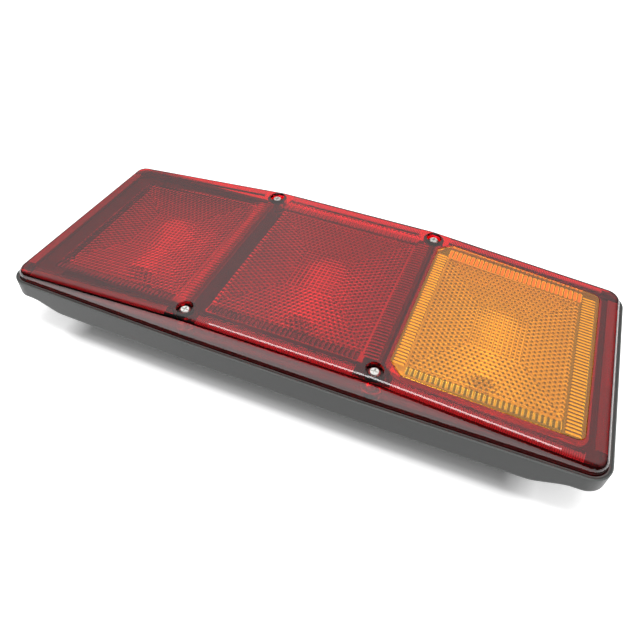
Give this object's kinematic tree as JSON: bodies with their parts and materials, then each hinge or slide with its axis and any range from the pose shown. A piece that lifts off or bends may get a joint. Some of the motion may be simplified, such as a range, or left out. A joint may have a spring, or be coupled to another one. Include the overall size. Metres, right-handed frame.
{
  "type": "tail light cluster",
  "caption": "Long tail light cluster with a bent, rounded red lens, a framed amber insert, sunk lens screws and a black moulded housing with a deep rim and an inset pan.",
  "frame": {"origin": "middle of the flat back, bottom centre of the box, with the lamp lying on its back", "axes": "+X along the lamp towards the amber lens, +Y across it, +Z out of the lens"},
  "size_m": [0.3616, 0.1484, 0.0518],
  "materials": {
    "housing_black": "black moulded plastic with a fine grain",
    "black_rubber": "soft black rubber",
    "red_lens": "clear red moulded plastic, polished outside",
    "amber_lens": "clear amber moulded plastic, polished outside",
    "screw_zinc": "bright zinc plate",
    "contact_brass": "rolled brass",
    "insert_brass": "turned brass",
    "reflector_silver": "metallised plastic",
    "holder_steel": "zinc-plated pressed steel",
    "bulb_brass": "drawn brass",
    "bulb_glass": "clear glass",
    "insulator_brown": "brown laminate"
  },
  "bodies": {
    "root": {"housing": "housing_black", "lens_gasket": "black_rubber", "red_lens": "red_lens", "amber_lens": "amber_lens", "lens_screws": "screw_zinc", "screw_seals": "black_rubber", "earth_strip": "contact_brass", "holder_screws": "screw_zinc", "cable_grommet": "black_rubber", "mount_inserts": "insert_brass", "tail_reflector": "reflector_silver", "tail_bulb_holder": "holder_steel", "tail_bulb_base": "bulb_brass", "tail_bulb_glass": "bulb_glass", "tail_contact_insulator": "insulator_brown", "tail_live_contact": "contact_brass", "stop_reflector": "reflector_silver", "stop_bulb_holder": "holder_steel", "stop_bulb_base": "bulb_brass", "stop_bulb_glass": "bulb_glass", "stop_contact_insulator": "insulator_brown", "stop_live_contact": "contact_brass", "turn_reflector": "reflector_silver", "turn_bulb_holder": "holder_steel", "turn_bulb_base": "bulb_brass", "turn_bulb_glass": "bulb_glass", "turn_contact_insulator": "insulator_brown", "turn_live_contact": "contact_brass"}
  },
  "joints": []
}
